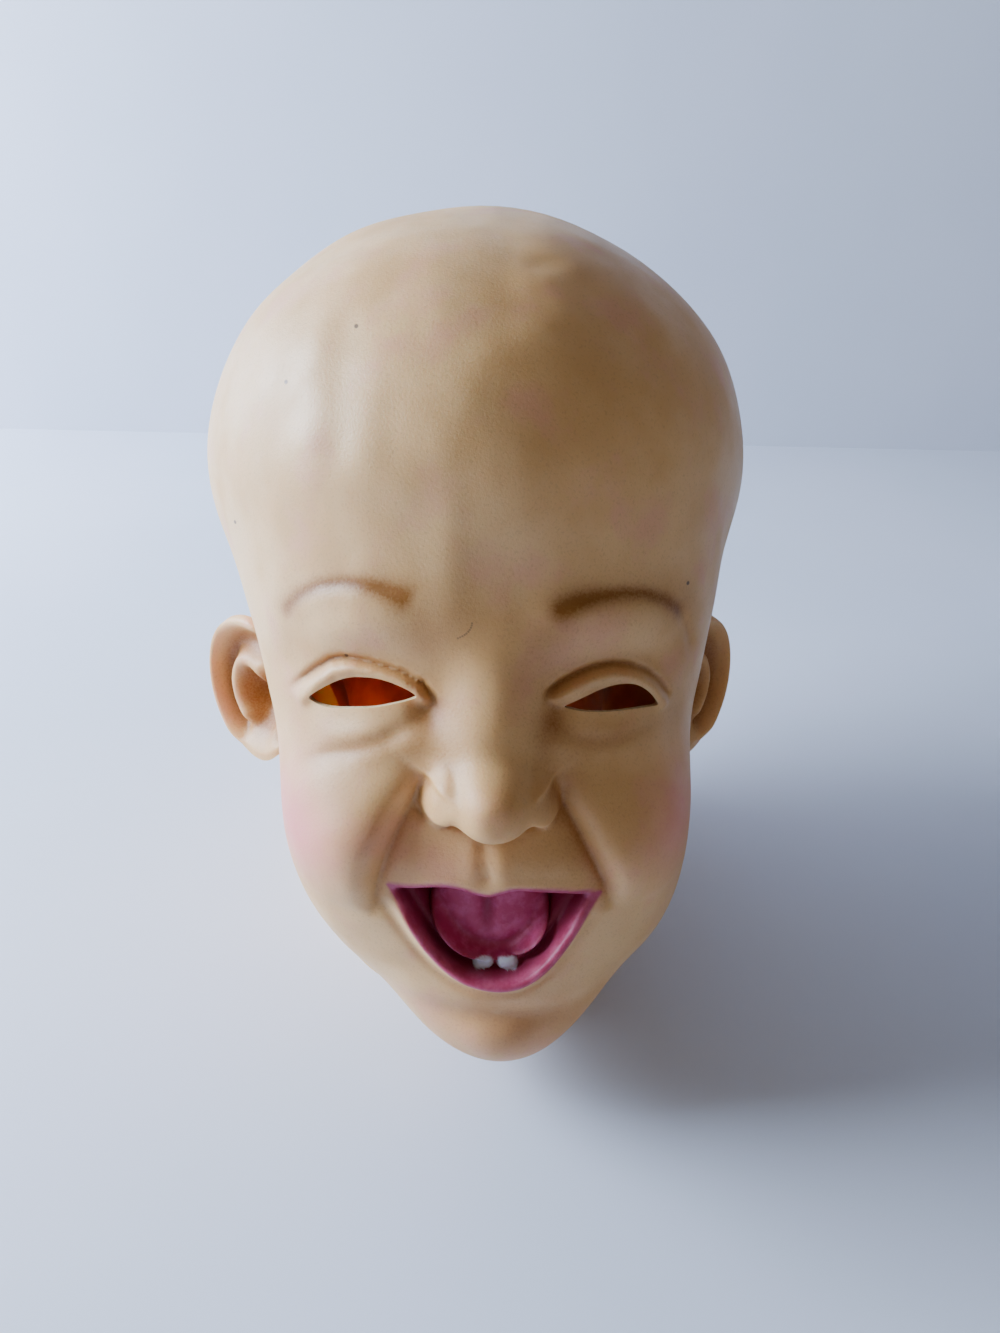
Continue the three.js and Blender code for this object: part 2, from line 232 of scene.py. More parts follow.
def line_distance(x, z, line):
    """How far each place is from a line on the face, and its share along the line."""
    nearest = np.full(x.shape, np.inf)
    along = np.zeros(x.shape)
    for step, (start, end) in enumerate(zip(line, line[1:])):
        run_x, run_z = end[0] - start[0], end[1] - start[1]
        length = run_x * run_x + run_z * run_z
        share = np.clip(((x - start[0]) * run_x + (z - start[1]) * run_z) / length, 0, 1)
        far = np.hypot(x - start[0] - share * run_x, z - start[1] - share * run_z)
        along = np.where(far < nearest, (step + share) / (len(line) - 1), along)
        nearest = np.minimum(far, nearest)
    return nearest, along


def stroke(x, z, line, width, fade=0.15):
    """One along a line's middle, falling off to its sides and towards its ends."""
    far, along = line_distance(x, z, line)
    ends = smooth_step(0, fade, along) * smooth_step(1, 1 - fade, along)
    return np.exp(-((far / width) ** 2)) * ends


def head_gap(points):
    """How far points are from the bare head's skin, less than zero inside it."""
    gap = None
    x, y, z = points.T
    for (mid_x, mid_y, mid_z), (half_x, half_y, half_z) in LUMPS:
        across = (x - mid_x) / half_x
        back = (y - mid_y) / half_y
        up = (z - mid_z) / half_z
        size = np.sqrt(across * across + back * back + up * up)
        steep = np.sqrt((across / half_x) ** 2 + (back / half_y) ** 2 + (up / half_z) ** 2)
        lump = size * (size - 1) / np.maximum(steep, 1e-9)
        if gap is None:
            gap = lump
        else:
            overlap = np.maximum(0, BLEND - np.abs(gap - lump)) / BLEND
            gap = np.minimum(gap, lump) - overlap * overlap * BLEND / 4
    return gap


def cast(rays, depth):
    """Where rays from the middle of the head leave the skin that lies some depth inside it."""
    reach = np.full(len(rays), float(RAY_REACH))
    for _ in range(RAY_STEPS):
        gap = head_gap(RAY_CENTRE + rays * reach[:, None]) + depth
        reach -= np.maximum(gap, 0) * RAY_STEP_SHARE
    return RAY_CENTRE + rays * reach[:, None]


def eye_relief(x, z):
    """The sockets, the narrowed lids with a crease over them, and the bags under them."""
    carved = swells(np.abs(x), z, EYE_SWELLS)
    for crease, lid, bag, bag_depth in (
        (LEFT_CREASE, LEFT_LID, LEFT_BAG, 1.3),
        (RIGHT_CREASE, RIGHT_LID, RIGHT_BAG, 0.8),
    ):
        carved += 2.7 * stroke(x, z, crease, 1.3)
        carved -= 2.4 * stroke(x, z, lid, 2.3, 0.1)
        carved += bag_depth * stroke(x, z, bag, 2.6, 0.3)
    return carved


def nose_relief(x, z):
    """The bridge, the ball and the two wings, run into each other, over the nostrils."""
    root, tip, base = 131, 96, np.interp(x, *zip(*NOSE_BASE))
    along = smooth_step(root + 4, tip, z)
    under = smooth_step(base - 2.4, base + 2.4, z)
    top = smooth_step(root + 12, root - 8, z)
    ridge = (3 + 3.2 * along) * np.exp(-np.abs(x / (10.2 + 3.8 * along)) ** 3)
    ball = 12 * dome((x + 0.6) / 12.8, (z - tip) / 10.8)
    left_wing = 8.5 * dome((x + 14.2) / 6, (z - 96.6) / 8.4)
    right_wing = 8.5 * dome((x - 13.2) / 5.8, (z - 96.2) / 8.4)
    rounded_end = (ball ** 3 + (left_wing + right_wing) ** 3) ** (1 / 3)
    grooves = stroke(x, z, LEFT_WING_GROOVE, 2.4, 0.3) + stroke(x, z, RIGHT_WING_GROOVE, 2.4, 0.3)
    nostril_z = (z - base + 0.2) / 1.8
    nostrils = bell((x + 11) / 2.6, nostril_z) + bell((x - 10) / 2.8, nostril_z)
    around = stroke(x, z, LEFT_WING_EDGE, 2, 0.3) + stroke(x, z, RIGHT_WING_EDGE, 2, 0.3)
    return -under * (top * ridge + rounded_end) + 0.3 * grooves + 3 * nostrils + 1.7 * around


def beside_fold(x, z, line):
    """How far a place is outward of a fold, less than zero on the muzzle, and its share along it."""
    far, along = line_distance(x, z, line)
    line_x, line_z = zip(*line[::-1])
    outward = np.where(np.abs(x) > np.abs(np.interp(z, line_z, line_x)), far, -far)
    return outward, along


def fold_relief(x, z):
    """The laughing folds: a valley with a crease in it, and the cheek swelling out beside it."""
    valley_depth, valley_width, crease_depth, crease_width = 2.4, 6, 1.2, 1.6
    cheek_depth, cheek_width = 4.2, 19
    carved = np.zeros(x.shape)
    for line in (LEFT_FOLD, RIGHT_FOLD):
        outward, along = beside_fold(x, z, line)
        ends = smooth_step(0, 0.12, along) * smooth_step(1, 0.7, along)
        cheek_ends = smooth_step(0, 0.5, along) * smooth_step(1, 0.7, along)
        cheek = smooth_step(-1.5, 7, outward) * np.exp(-((outward / cheek_width) ** 2))
        valley = valley_depth * np.exp(-((outward / valley_width) ** 2))
        crease = crease_depth * np.exp(-((outward / crease_width) ** 2))
        carved += ends * (valley + crease) - cheek_depth * cheek_ends * cheek
    return carved + swells(np.abs(x), z, CHEEK_SWELLS)


def muzzle_relief(x, z):
    """The upper lip with its philtrum, and the chin with the crease above it."""
    return swells(x, z, MUZZLE_SWELLS) + stroke(x, z, PHILTRUM, 2.3, 0.2)


def tooth_size(across, up):
    """One on a tooth's outline and less inside it."""
    return np.abs(across / TOOTH_HALF_WIDE) ** 3 + np.abs(up / TOOTH_HALF_TALL) ** 3


def tongue_place(x, z):
    """Across and up on the tongue, each of them one at its edge."""
    return (x - TONGUE["x"]) / TONGUE["half_wide"], (z - TONGUE["z"]) / TONGUE["half_tall"]


def mouth_relief(x, z):
    """The lower lip's roll, the pocket behind the lips, and the gum, tongue and teeth in it."""
    low = np.interp(x, *zip(*MOUTH_LOW), left=90, right=90)
    top = np.interp(x, *zip(*LIP_TOP))
    to_low, _ = line_distance(x, z, MOUTH_LOW)
    inward = np.where((z > low) & (z < top + 4), to_low, -to_low)
    under_top = smooth_step(top + 0.4, top - 1.6, z)
    lip_end = smooth_step(top + 1, top - 12, z)
    lip_roll = 3.2 * bell((inward + 1.3) / 2.2)
    roll_edge = 0.9 * bell((inward + 4.8) / 1.8)
    upper_lip = 0.9 * bell((z - top - 1.8) / 2, (x - 1) / 24)
    carved = (roll_edge - lip_roll) * lip_end - upper_lip
    pocket = 6.5 * smooth_step(-0.2, 2.6, inward) + 9.5 * smooth_step(2.5, 9, inward)
    gum = 3.5 * bell((inward - 4.6) / 1.5) * smooth_step(62, 50, z)
    across, up = tongue_place(x, z)
    round_off = np.clip(1 - across * across - up * up, 0, 1) ** 0.36
    groove = 2.6 * bell((across + 0.05) / 0.13) * smooth_step(-0.75, 0, up)
    pocket -= gum + round_off * (9.5 - groove)
    for tooth_x, tooth_z in TEETH:
        on_tooth = tooth_size(x - tooth_x, z - tooth_z)
        share = smooth_step(1.5, 0.7, on_tooth)
        face = 3.4 + 1.2 * on_tooth
        pocket = np.where(inward > -1.5, pocket * (1 - share) + np.minimum(pocket, face) * share, pocket)
    return carved + pocket * under_top


def forehead_relief(x, z):
    """The brow's swell, and the dents and creases that the thin latex has taken."""
    carved = swells(np.abs(x), z, BROW_SWELLS) + swells(x, z, FOREHEAD_SWELLS)
    carved += 1.1 * stroke(x, z, FOREHEAD_CREASE, 6, 0.3)
    carved += 0.9 * stroke(x, z, TOP_DENT, 2.2, 0.4)
    carved += 1.2 * stroke(x, z, TEMPLE_CREASES, 1.7, 0.3)
    for line in (LEFT_BROW, RIGHT_BROW):
        below = [(line_x, line_z - 4) for line_x, line_z in line]
        carved += 0.35 * stroke(x, z, line, 1.8, 0.3) - 0.5 * stroke(x, z, below, 3, 0.3)
    return carved


def face_relief(x, z):
    """How deep the face is carved, backwards, at a place in its front view."""
    carved = eye_relief(x, z) + nose_relief(x, z) + fold_relief(x, z)
    carved += forehead_relief(x, z)
    return carved + muzzle_relief(x, z) + mouth_relief(x, z)


def deepest_relief(x, z):
    """The carving as the inside of the wall has it: the deepest of the places round about."""
    deepest = face_relief(x, z)
    for angle in np.arange(8) * math.pi / 4:
        near_x = x + WALL * math.cos(angle)
        near_z = z + WALL * math.sin(angle)
        deepest = np.maximum(deepest, face_relief(near_x, near_z))
    return deepest


def uneven(points):
    """Slow swells of a hand-made casting."""
    x, y, z = points.T
    swell = np.sin(x / 9 + 1.3 * np.sin(z / 14)) + np.sin(y / 11 + z / 17 + 2)
    return swell + 0.7 * np.sin(z / 7 + 1.1 * np.sin(x / 10 + y / 13))


def outer_skin(rays):
    points = cast(rays, 0)
    points += rays * (UNEVENNESS * uneven(points))[:, None]
    x, y, z = points.T
    points[:, 1] += face_relief(x, z) * smooth_step(*CARVED_BACK_TO, y)
    return points


def inner_skin(rays):
    points = cast(rays, WALL)
    x, y, z = points.T
    thinned = THINNED_AT_EYES * bell((np.abs(x) - 36) / 20, (z - 124) / 9)
    points[:, 1] += (deepest_relief(x, z) - thinned) * smooth_step(*CARVED_BACK_TO, y)
    return points


# The longest mesh edges, in millimetres, at the parts that need finer and finer ones. What is
# under the rim is cut away, so its edges are as long as they like.
BACK_EDGE, FOREHEAD_EDGE, FACE_EDGE = 6, 4, 2.8
EYE_EDGE, NOSE_EDGE, LINE_EDGE, MOUTH_EDGE = 1.4, 1.3, 1.25, 1.2
LINING_BACK_EDGE, LINING_FACE_EDGE, LINING_EYE_EDGE = 10, 5, 3.2
UNDER_RIM, UNDER_RIM_EDGE = -25, 40
NEAR_LINE = 5


def outer_edge(points):
    """The longest edge wanted at each place on the outside."""
    x, y, z = points.T
    side = np.abs(x)
    edge = np.full(len(points), float(BACK_EDGE))
    edge[(y < 75) & (z > 150)] = FOREHEAD_EDGE
    edge[(y > 50) & (y < 150) & (z > 62) & (z < 142) & (side > 60)] = FACE_EDGE
    edge[(y < 75) & (z <= 162)] = FACE_EDGE
    for line in (LEFT_BROW, RIGHT_BROW, LEFT_FOLD, RIGHT_FOLD, LEFT_BAG, RIGHT_BAG):
        far, _ = line_distance(x, z, line)
        edge[(far < NEAR_LINE) & (y < 60)] = LINE_EDGE
    edge[(side > 13) & (side < 60) & (z > 100) & (z < 137) & (y < 60)] = EYE_EDGE
    edge[(side < 25) & (z > 82) & (z < 110) & (y < 60)] = NOSE_EDGE
    edge[(side < 38) & (z > 27) & (z < 74) & (y < 60)] = MOUTH_EDGE
    edge[z < UNDER_RIM] = UNDER_RIM_EDGE
    return edge


def inner_edge(points):
    x, y, z = points.T
    edge = np.full(len(points), float(LINING_BACK_EDGE))
    edge[(y < 75) & (z <= 162)] = LINING_FACE_EDGE
    edge[(np.abs(x) < 60) & (z > 25) & (z < 137) & (y < 60)] = LINING_EYE_EDGE
    edge[z < UNDER_RIM] = UNDER_RIM_EDGE
    return edge


def to_floor(points):
    """Moves points from the head's frame, in millimetres, to the floor's, in metres."""
    x, y, z = points.T
    back = y * math.cos(LEAN) + z * math.sin(LEAN)
    up = z * math.cos(LEAN) - y * math.sin(LEAN)
    return (np.stack([x, back, up], 1) + HEAD_TO_FLOOR) * MM


def to_head(points):
    """Moves points from the floor's frame, in metres, to the head's, in millimetres."""
    x, back, up = (points / MM - HEAD_TO_FLOOR).T
    y = back * math.cos(LEAN) - up * math.sin(LEAN)
    z = back * math.sin(LEAN) + up * math.cos(LEAN)
    return np.stack([x, y, z], 1)


def places_of(bm):
    return np.array([vert.co for vert in bm.verts])


def skin(place, longest):
    """A ball of rays, its edges halved until each is as short as is wanted on the skin."""
    bm = bmesh.new()
    bmesh.ops.create_icosphere(bm, subdivisions=4, radius=1)
    points = np.zeros((0, 3))
    most_halvings = 10
    for _ in range(most_halvings):
        new = places_of(bm)[len(points):]
        points = np.concatenate([points, place(new / np.linalg.norm(new, axis=1)[:, None])])
        bm.edges.ensure_lookup_table()
        ends = np.array([(edge.verts[0].index, edge.verts[1].index) for edge in bm.edges])
        start, end = points[ends[:, 0]], points[ends[:, 1]]
        long = np.linalg.norm(start - end, axis=1) > longest((start + end) / 2)
        if not long.any():
            break
        bm.edges.index_update()
        sides = np.array([[edge.index for edge in face.edges] for face in bm.faces])
        # A triangle has one or three of its sides halved, never two, so that it splits cleanly.
        two_long = long[sides].sum(1) == 2
        while two_long.any():
            long[sides[two_long]] = True
            two_long = long[sides].sum(1) == 2
        too_long = [bm.edges[index] for index in np.flatnonzero(long)]
        bmesh.ops.subdivide_edges(bm, edges=too_long, cuts=1, use_single_edge=True, use_grid_fill=True)
        bm.verts.index_update()
    new = places_of(bm)[len(points):]
    if len(new):
        points = np.concatenate([points, place(new / np.linalg.norm(new, axis=1)[:, None])])
    for vert, point in zip(bm.verts, to_floor(points)):
        vert.co = point
    return bm


def smooth_once(bm, verts, factor):
    bmesh.ops.smooth_vert(
        bm, verts=verts, factor=factor, use_axis_x=True, use_axis_y=True, use_axis_z=True
    )


def ear_local(points, side):
    """Places in an ear's own frame: out to the back, up, and the height of its front."""
    x = points[:, 0] * side - (EAR["right_x"] if side > 0 else EAR["left_x"])
    y = points[:, 1] - EAR["y"]
    z = points[:, 2] - EAR["z"]
    flare, lean = math.radians(EAR["flare"]), math.radians(EAR["lean"])
    out = x * math.cos(flare) + y * math.sin(flare)
    height = x * math.sin(flare) - y * math.cos(flare)
    up = z * math.cos(lean) + out * math.sin(lean)
    out = out * math.cos(lean) - z * math.sin(lean)
    return out, up, height


def ear_places(out, up, height, side):
    """Places in the head's frame of points in an ear's own."""
    flare, lean = math.radians(EAR["flare"]), math.radians(EAR["lean"])
    z = up * math.cos(lean) - out * math.sin(lean)
    out = out * math.cos(lean) + up * math.sin(lean)
    x = out * math.cos(flare) + height * math.sin(flare)
    y = out * math.sin(flare) - height * math.cos(flare)
    x = side * (x + (EAR["right_x"] if side > 0 else EAR["left_x"]))
    return np.stack([x, y + EAR["y"], z + EAR["z"]], 1)


def ear_radius(angle):
    """The radius of an ear's outline, its corners evened out."""
    spread = [np.interp(angle + turn, *zip(*EAR_OUTLINE), period=360) for turn in (-12, -6, 0, 6, 12)]
    return sum(spread) / len(spread)


def ear_front(share, angle):
    """The height of an ear's front: a rolled rim, a groove, a ridge and a hollow."""
    lobe = smooth_step(225, 255, angle) * smooth_step(325, 295, angle)
    broad_rim = 1 - 0.35 * bell((angle - 95) / 45)
    share = 1 - (1 - share) * broad_rim
    return (1 - lobe) * np.interp(share, *zip(*EAR_FRONT)) + lobe * np.interp(share, *zip(*EAR_LOBE))


def ear_turn_in(share, angle):
    """How far an ear's front edge is bent into the head."""
    return 7 * smooth_step(0.2, 1, -np.cos(np.radians(angle))) * share


def ear(side):
    """A ball flattened into an ear: its front half cupped, its back half rounded."""
    bm = bmesh.new()
    bmesh.ops.create_uvsphere(bm, u_segments=80, v_segments=44, radius=1)
    ball = places_of(bm)
    tilt = np.degrees(np.arccos(np.clip(ball[:, 2], -1, 1)))
    share = 1 - np.abs(90 - tilt) / 90
    angle = np.degrees(np.arctan2(ball[:, 1], ball[:, 0])) % 360
    radius = share * ear_radius(angle)
    height = np.where(tilt < 90, ear_front(share, angle), np.interp(share, *zip(*EAR_BACK)))
    height = height - ear_turn_in(share, angle)
    out = radius * np.cos(np.radians(angle))
    up = radius * np.sin(np.radians(angle))
    for vert, point in zip(bm.verts, to_floor(ear_places(out, up, height, side))):
        vert.co = point
    smooth_once(bm, bm.verts, 0.4)
    bmesh.ops.recalc_face_normals(bm, faces=bm.faces)
    return bm


def mesh_object(name, bm, slots=()):
    mesh = bpy.data.meshes.new(name)
    for slot in slots:
        mesh.materials.append(slot)
    bm.to_mesh(mesh)
    bm.free()
    piece = bpy.data.objects.new(name, mesh)
    bpy.context.scene.collection.objects.link(piece)
    return piece


def join_solids(piece, other, operation):
    """Joins or cuts a piece with another, and removes the other."""
    joint = piece.modifiers.new("joint", "BOOLEAN")
    joint.operation = operation
    joint.solver = "EXACT"
    joint.object = other
    graph = bpy.context.evaluated_depsgraph_get()
    made = bpy.data.meshes.new_from_object(piece.evaluated_get(graph))
    piece.modifiers.clear()
    piece.data = made
    bpy.data.objects.remove(other)


def colour(code):
    """An sRGB hex colour as linear red, green, blue and alpha."""
    channels = [int(code[at:at + 2], 16) / 255 for at in (0, 2, 4)]
    linear = [c / 12.92 if c <= 0.04045 else ((c + 0.055) / 1.055) ** 2.4 for c in channels]
    return (*linear, 1)


def add(tree, kind, inputs=None, **settings):
    """Adds a node, sets it up and links its inputs: a socket is linked, anything else is a value."""
    node = tree.nodes.new(kind)
    for name, value in settings.items():
        setattr(node, name, value)
    for name, value in (inputs or {}).items():
        if isinstance(value, bpy.types.NodeSocket):
            tree.links.new(value, node.inputs[name])
        else:
            node.inputs[name].default_value = value
    return node


def new_material(name):
    material = bpy.data.materials.new(name)
    material.use_nodes = True
    material.node_tree.nodes.clear()
    return material, material.node_tree


def noise(tree, place, size, detail=3.0, roughness=0.5, seed=0.0):
    """Noise whose swells are about so many millimetres wide, from 0 to 1 with 0.5 in the middle."""
    moved = add(tree, "ShaderNodeMapping", {"Vector": place, "Location": (seed, seed * 2, -seed)})
    inputs = {
        "Vector": moved.outputs[0], "Scale": 1 / (size * MM), "Detail": detail, "Roughness": roughness,
    }
    return add(tree, "ShaderNodeTexNoise", inputs).outputs["Fac"]


def ramp(tree, value, start, end, to_start=0.0, to_end=1.0):
    inputs = {"Value": value, "From Min": start, "From Max": end, "To Min": to_start, "To Max": to_end}
    return add(tree, "ShaderNodeMapRange", inputs, interpolation_type="SMOOTHSTEP").outputs[0]


def times(tree, first, second):
    return add(tree, "ShaderNodeMath", {0: first, 1: second}, operation="MULTIPLY").outputs[0]


def over(tree, share, under, top):
    """One colour laid over another by a share."""
    share_input, under_input, top_input, mixed_output = 0, 6, 7, 2
    inputs = {share_input: share, under_input: under, top_input: top}
    return add(tree, "ShaderNodeMix", inputs, data_type="RGBA").outputs[mixed_output]


# Cast natural latex, painted by airbrush in thin coats of latex colour: brown in the hollows and
# brows, pink on the cheeks, magenta in the mouth. The brown in the hollows is partly painted shade. It is
# cloudy and warm, soft to light, satin where the paint has filmed over, and has a few specks and a fine
# dark hair in it.
def painted_latex():
    material, tree = new_material("airbrushed latex")
    place = add(tree, "ShaderNodeTexCoord").outputs["Object"]

    def mask_of(name):
        return add(tree, "ShaderNodeAttribute", attribute_name=name).outputs["Fac"]

    head_place = add(tree, "ShaderNodeAttribute", attribute_name="head place").outputs["Vector"]
    clouds = noise(tree, place, 34, 4, 0.55)
    pink_clouds = noise(tree, place, 22, 4, 0.6, 0.31)
    spray = noise(tree, place, 0.8, 2, 0.6, 0.57)
    grain = noise(tree, place, 0.9, 2, 0.7, 0.13)
    skin_colour = over(tree, ramp(tree, clouds, 0.35, 0.65), colour("E6B87E"), colour("DAA86B"))
    skin_colour = over(tree, ramp(tree, pink_clouds, 0.5, 0.7, 0, 0.6), skin_colour, colour("E0A07E"))
    skin_colour = over(tree, ramp(tree, spray, 0.54, 0.7, 0, 0.3), skin_colour, colour("B58455"))
    misty = ramp(tree, spray, 0.35, 0.65, 0.85, 1.05)
    # Painted shade, partly sprayed brown: the shade mask darkens the hollows, creases, folds and ear
    # hollows.
    skin_colour = over(tree, times(tree, mask_of("shade"), misty), skin_colour, colour("A06428"))
    skin_colour = over(tree, times(tree, mask_of("blush"), misty), skin_colour, colour("E5807C"))
    skin_colour = over(tree, times(tree, mask_of("brow"), misty), skin_colour, colour("905810"))
    blotch = noise(tree, place, 5, 3, 0.6, 0.77)
    lips = over(tree, ramp(tree, blotch, 0.35, 0.7), colour("AE385C"), colour("C25A7A"))
    lips = over(tree, mask_of("deep"), lips, colour("8A1C3E"))
    tongue = over(tree, ramp(tree, blotch, 0.4, 0.65), colour("B83262"), colour("CA5480"))
    lips = over(tree, mask_of("tongue"), lips, tongue)
    skin_colour = over(tree, mask_of("lip"), skin_colour, lips)
    teeth = over(tree, ramp(tree, blotch, 0.55, 0.72, 0, 0.5), colour("D6DAE6"), colour("BFAFBE"))
    skin_colour = over(tree, mask_of("tooth"), skin_colour, teeth)
    front_view = add(tree, "ShaderNodeVectorMath", {0: head_place, 1: (1, 0, 1)}, operation="MULTIPLY")
    head_axes = add(tree, "ShaderNodeSeparateXYZ", {0: head_place}).outputs
    on_front = ramp(tree, head_axes["Y"], 60, 70, 1.0, 0.0)
    marks = [(spot, SPECK_RADIUS, 0.8) for spot in SPECKS]
    marks += [(spot, HAIR_RADIUS, 0.5) for spot in HAIR_MARK]
    for (mark_x, mark_z), radius, strength in marks:
        inputs = {0: front_view.outputs[0], 1: (mark_x, 0, mark_z)}
        far = add(tree, "ShaderNodeVectorMath", inputs, operation="DISTANCE").outputs["Value"]
        dark = ramp(tree, far, radius, radius * 2, strength, 0.0)
        skin_colour = over(tree, times(tree, dark, on_front), skin_colour, colour("3A2415"))

    swell = noise(tree, place, 22, 1, 0.4, 0.9)
    low_bump = add(tree, "ShaderNodeBump", {"Height": swell, "Strength": 0.6, "Distance": 0.003})
    fine_bump = add(tree, "ShaderNodeBump", {
        "Height": grain, "Normal": low_bump.outputs[0], "Strength": 0.45, "Distance": 0.0002})
    sheen = ramp(tree, clouds, 0.3, 0.7, 0.42, 0.56)
    shader = add(tree, "ShaderNodeBsdfPrincipled", {
        "Base Color": skin_colour, "Roughness": sheen, "IOR": 1.47, "Normal": fine_bump.outputs[0],
        "Subsurface Weight": 0.35, "Subsurface Radius": (1.0, 0.5, 0.25), "Subsurface Scale": 0.004})
    add(tree, "ShaderNodeOutputMaterial", {"Surface": shader.outputs[0]})
    return material


# The same latex unpainted, as it came off the mould's inside: darker, orange and slightly tacky, with a
# pale patch of painted light where light glows through the thin wall.
def bare_latex():
    material, tree = new_material("bare latex")
    place = add(tree, "ShaderNodeTexCoord").outputs["Object"]
    pools = noise(tree, place, 16, 4, 0.6)
    shade = over(tree, ramp(tree, pools, 0.35, 0.65), colour("CE9450"), colour("B87C3E"))
    head_place = add(tree, "ShaderNodeAttribute", attribute_name="head place").outputs["Vector"]
    head_axes = add(tree, "ShaderNodeSeparateXYZ", {0: head_place}).outputs
    # Painted light: the front part on the viewer's left is painted paler, as if lit through the thin
    # wall.
    in_front = ramp(tree, head_axes["Y"], 112.5, 114, 1, 0)
    on_left = ramp(tree, head_axes["X"], -20, 0, 1, 0)
    shade = over(tree, times(tree, in_front, on_left), shade, colour("FFD2A6"))
    bump = add(tree, "ShaderNodeBump", {"Height": pools, "Strength": 0.5, "Distance": 0.001})
    shader = add(tree, "ShaderNodeBsdfPrincipled", {
        "Base Color": shade, "Roughness": 0.62, "IOR": 1.52, "Normal": bump.outputs[0],
        "Subsurface Weight": 0.7, "Subsurface Radius": (1.0, 0.7, 0.4), "Subsurface Scale": 0.006})
    add(tree, "ShaderNodeOutputMaterial", {"Surface": shader.outputs[0]})
    return material


# Where the scissors went, the pale body of the latex shows.
def cut_latex():
    material, tree = new_material("cut latex edge")
    place = add(tree, "ShaderNodeTexCoord").outputs["Object"]
    fibres = noise(tree, place, 1.2, 2, 0.6)
    shade = over(tree, ramp(tree, fibres, 0.4, 0.7), colour("DEC094"), colour("C9A26C"))
    shader = add(tree, "ShaderNodeBsdfPrincipled", {
        "Base Color": shade, "Roughness": 0.6, "IOR": 1.5,
        "Subsurface Weight": 0.3, "Subsurface Radius": (1.0, 0.5, 0.25), "Subsurface Scale": 0.004})
    add(tree, "ShaderNodeOutputMaterial", {"Surface": shader.outputs[0]})
    return material


# A painted table top, matt and faintly uneven.
def pale_floor():
    material, tree = new_material("pale floor")
    place = add(tree, "ShaderNodeTexCoord").outputs["Object"]
    clouds = noise(tree, place, 300, 3)
    shade = over(tree, ramp(tree, clouds, 0.3, 0.7), colour("DADFEC"), colour("D2D8E6"))
    shader = add(tree, "ShaderNodeBsdfPrincipled", {"Base Color": shade, "Roughness": 0.6})
    add(tree, "ShaderNodeOutputMaterial", {"Surface": shader.outputs[0]})
    return material


painted = painted_latex()
bare = bare_latex()
cut = cut_latex()
INSIDE, CUT = 1, 2

mask = mesh_object("latex_mask", skin(outer_skin, outer_edge), (painted, bare, cut))
for side in (-1, 1):
    join_solids(mask, mesh_object("ear", ear(side), (painted,)), "UNION")

# The ears' joins are softened, as the casting has no seam there. A join is near the head's skin
# and within a cylinder about the ear.
EAR_JOINT_PASSES = 10
EAR_JOINT_REACH, EAR_JOINT_RADIUS, EAR_JOINT_HEIGHT = 4, 34, 22
shell = bmesh.new()
shell.from_mesh(mask.data)
shell_places = to_head(places_of(shell))
to_head_skin = np.abs(head_gap(shell_places))
for side in (-1, 1):
    out, up, height = ear_local(shell_places, side)
    near = (to_head_skin < EAR_JOINT_REACH) & (np.abs(height) < EAR_JOINT_HEIGHT)
    near &= np.hypot(out, up) < EAR_JOINT_RADIUS
    shell.verts.ensure_lookup_table()
    joint = [shell.verts[index] for index in np.flatnonzero(near)]
    for _ in range(EAR_JOINT_PASSES):
        smooth_once(shell, joint, 0.5)

# The inside faces the other way, so the two skins are one shell.
lining = skin(inner_skin, inner_edge)
bmesh.ops.reverse_faces(lining, faces=lining.faces)
for face in lining.faces:
    face.material_index = INSIDE
lining_mesh = bpy.data.meshes.new("lining")
lining.to_mesh(lining_mesh)
lining.free()
shell.from_mesh(lining_mesh)
bpy.data.meshes.remove(lining_mesh)

# The neck's rim is a flat cut on the floor.
section = bmesh.ops.bisect_plane(
    shell, geom=shell.verts[:] + shell.edges[:] + shell.faces[:],
    plane_co=(0, 0, 0), plane_no=(0, 0, -1), clear_outer=True,
)
rim = [part for part in section["geom_cut"] if isinstance(part, bmesh.types.BMEdge)]
for face in bmesh.ops.bridge_loops(shell, edges=rim)["faces"]:
    face.material_index = CUT
shell.to_mesh(mask.data)
shell.free()


def prism(outline, near_y, far_y, upright=False):
    """A front-view outline drawn out along y as a cutter, in the head's frame unless upright."""
    bm = bmesh.new()
    verts = [bm.verts.new((x, near_y, z)) for x, z in outline]
    face = bm.faces.new(verts)
    drawn = bmesh.ops.extrude_face_region(bm, geom=[face])
    moved = [part for part in drawn["geom"] if isinstance(part, bmesh.types.BMVert)]
    bmesh.ops.translate(bm, verts=moved, vec=(0, far_y - near_y, 0))
    if not upright:
        for vert, point in zip(bm.verts, to_floor(places_of(bm))):
            vert.co = point
    else:
        bmesh.ops.scale(bm, verts=bm.verts, vec=(MM, MM, MM))
    bmesh.ops.recalc_face_normals(bm, faces=bm.faces)
    for side_face in bm.faces:
        side_face.material_index = CUT
    return bm


EYE_CUT_FROM, EYE_CUT_TO = -20, 45
SLIT_CUT_FROM, SLIT_CUT_TO = 0, 200
for hole in (LEFT_EYE_HOLE, RIGHT_EYE_HOLE):
    hole_prism = prism(rounded(hole, closed=True), EYE_CUT_FROM, EYE_CUT_TO)
    cutter = mesh_object("cutter", hole_prism, (painted, bare, cut))
    join_solids(mask, cutter, "DIFFERENCE")
slit_prism = prism(NAPE_SLIT, SLIT_CUT_FROM, SLIT_CUT_TO, upright=True)
slit_cutter = mesh_object("cutter", slit_prism, (painted, bare, cut))
join_solids(mask, slit_cutter, "DIFFERENCE")

for face in mask.data.polygons:
    face.use_smooth = True
mask.data.set_sharp_from_angle(angle=SHARP_FROM)


